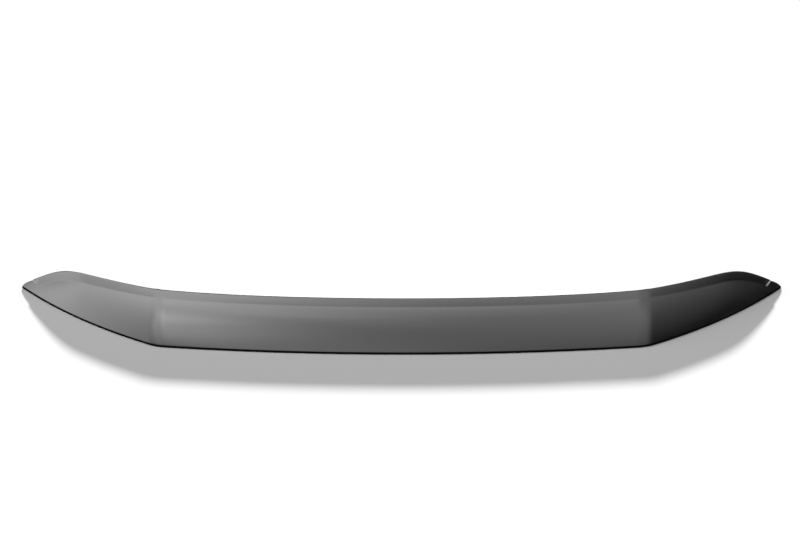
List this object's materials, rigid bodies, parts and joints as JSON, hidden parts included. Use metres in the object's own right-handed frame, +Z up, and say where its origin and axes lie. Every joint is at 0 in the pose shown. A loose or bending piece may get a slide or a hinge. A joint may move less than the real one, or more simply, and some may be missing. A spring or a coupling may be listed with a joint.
{
  "type": "hood bug deflector",
  "caption": "Smoked wrap-around deflector for a hood's leading edge: one curved moulded sheet with a kicked-up lip, a bend on each side and pointed ends.",
  "frame": {"origin": "middle of the flat underside of the bottom return, on the vehicle's centre line", "axes": "+X across the vehicle towards the deflector's left-hand end as the driver sits, -Y forward, +Z up"},
  "size_m": [1.5, 0.2931, 0.0824],
  "materials": {
    "smoked_acrylic": "moulded dark smoke acrylic, gloss"
  },
  "bodies": {
    "root": {"shield": "smoked_acrylic"}
  },
  "joints": []
}
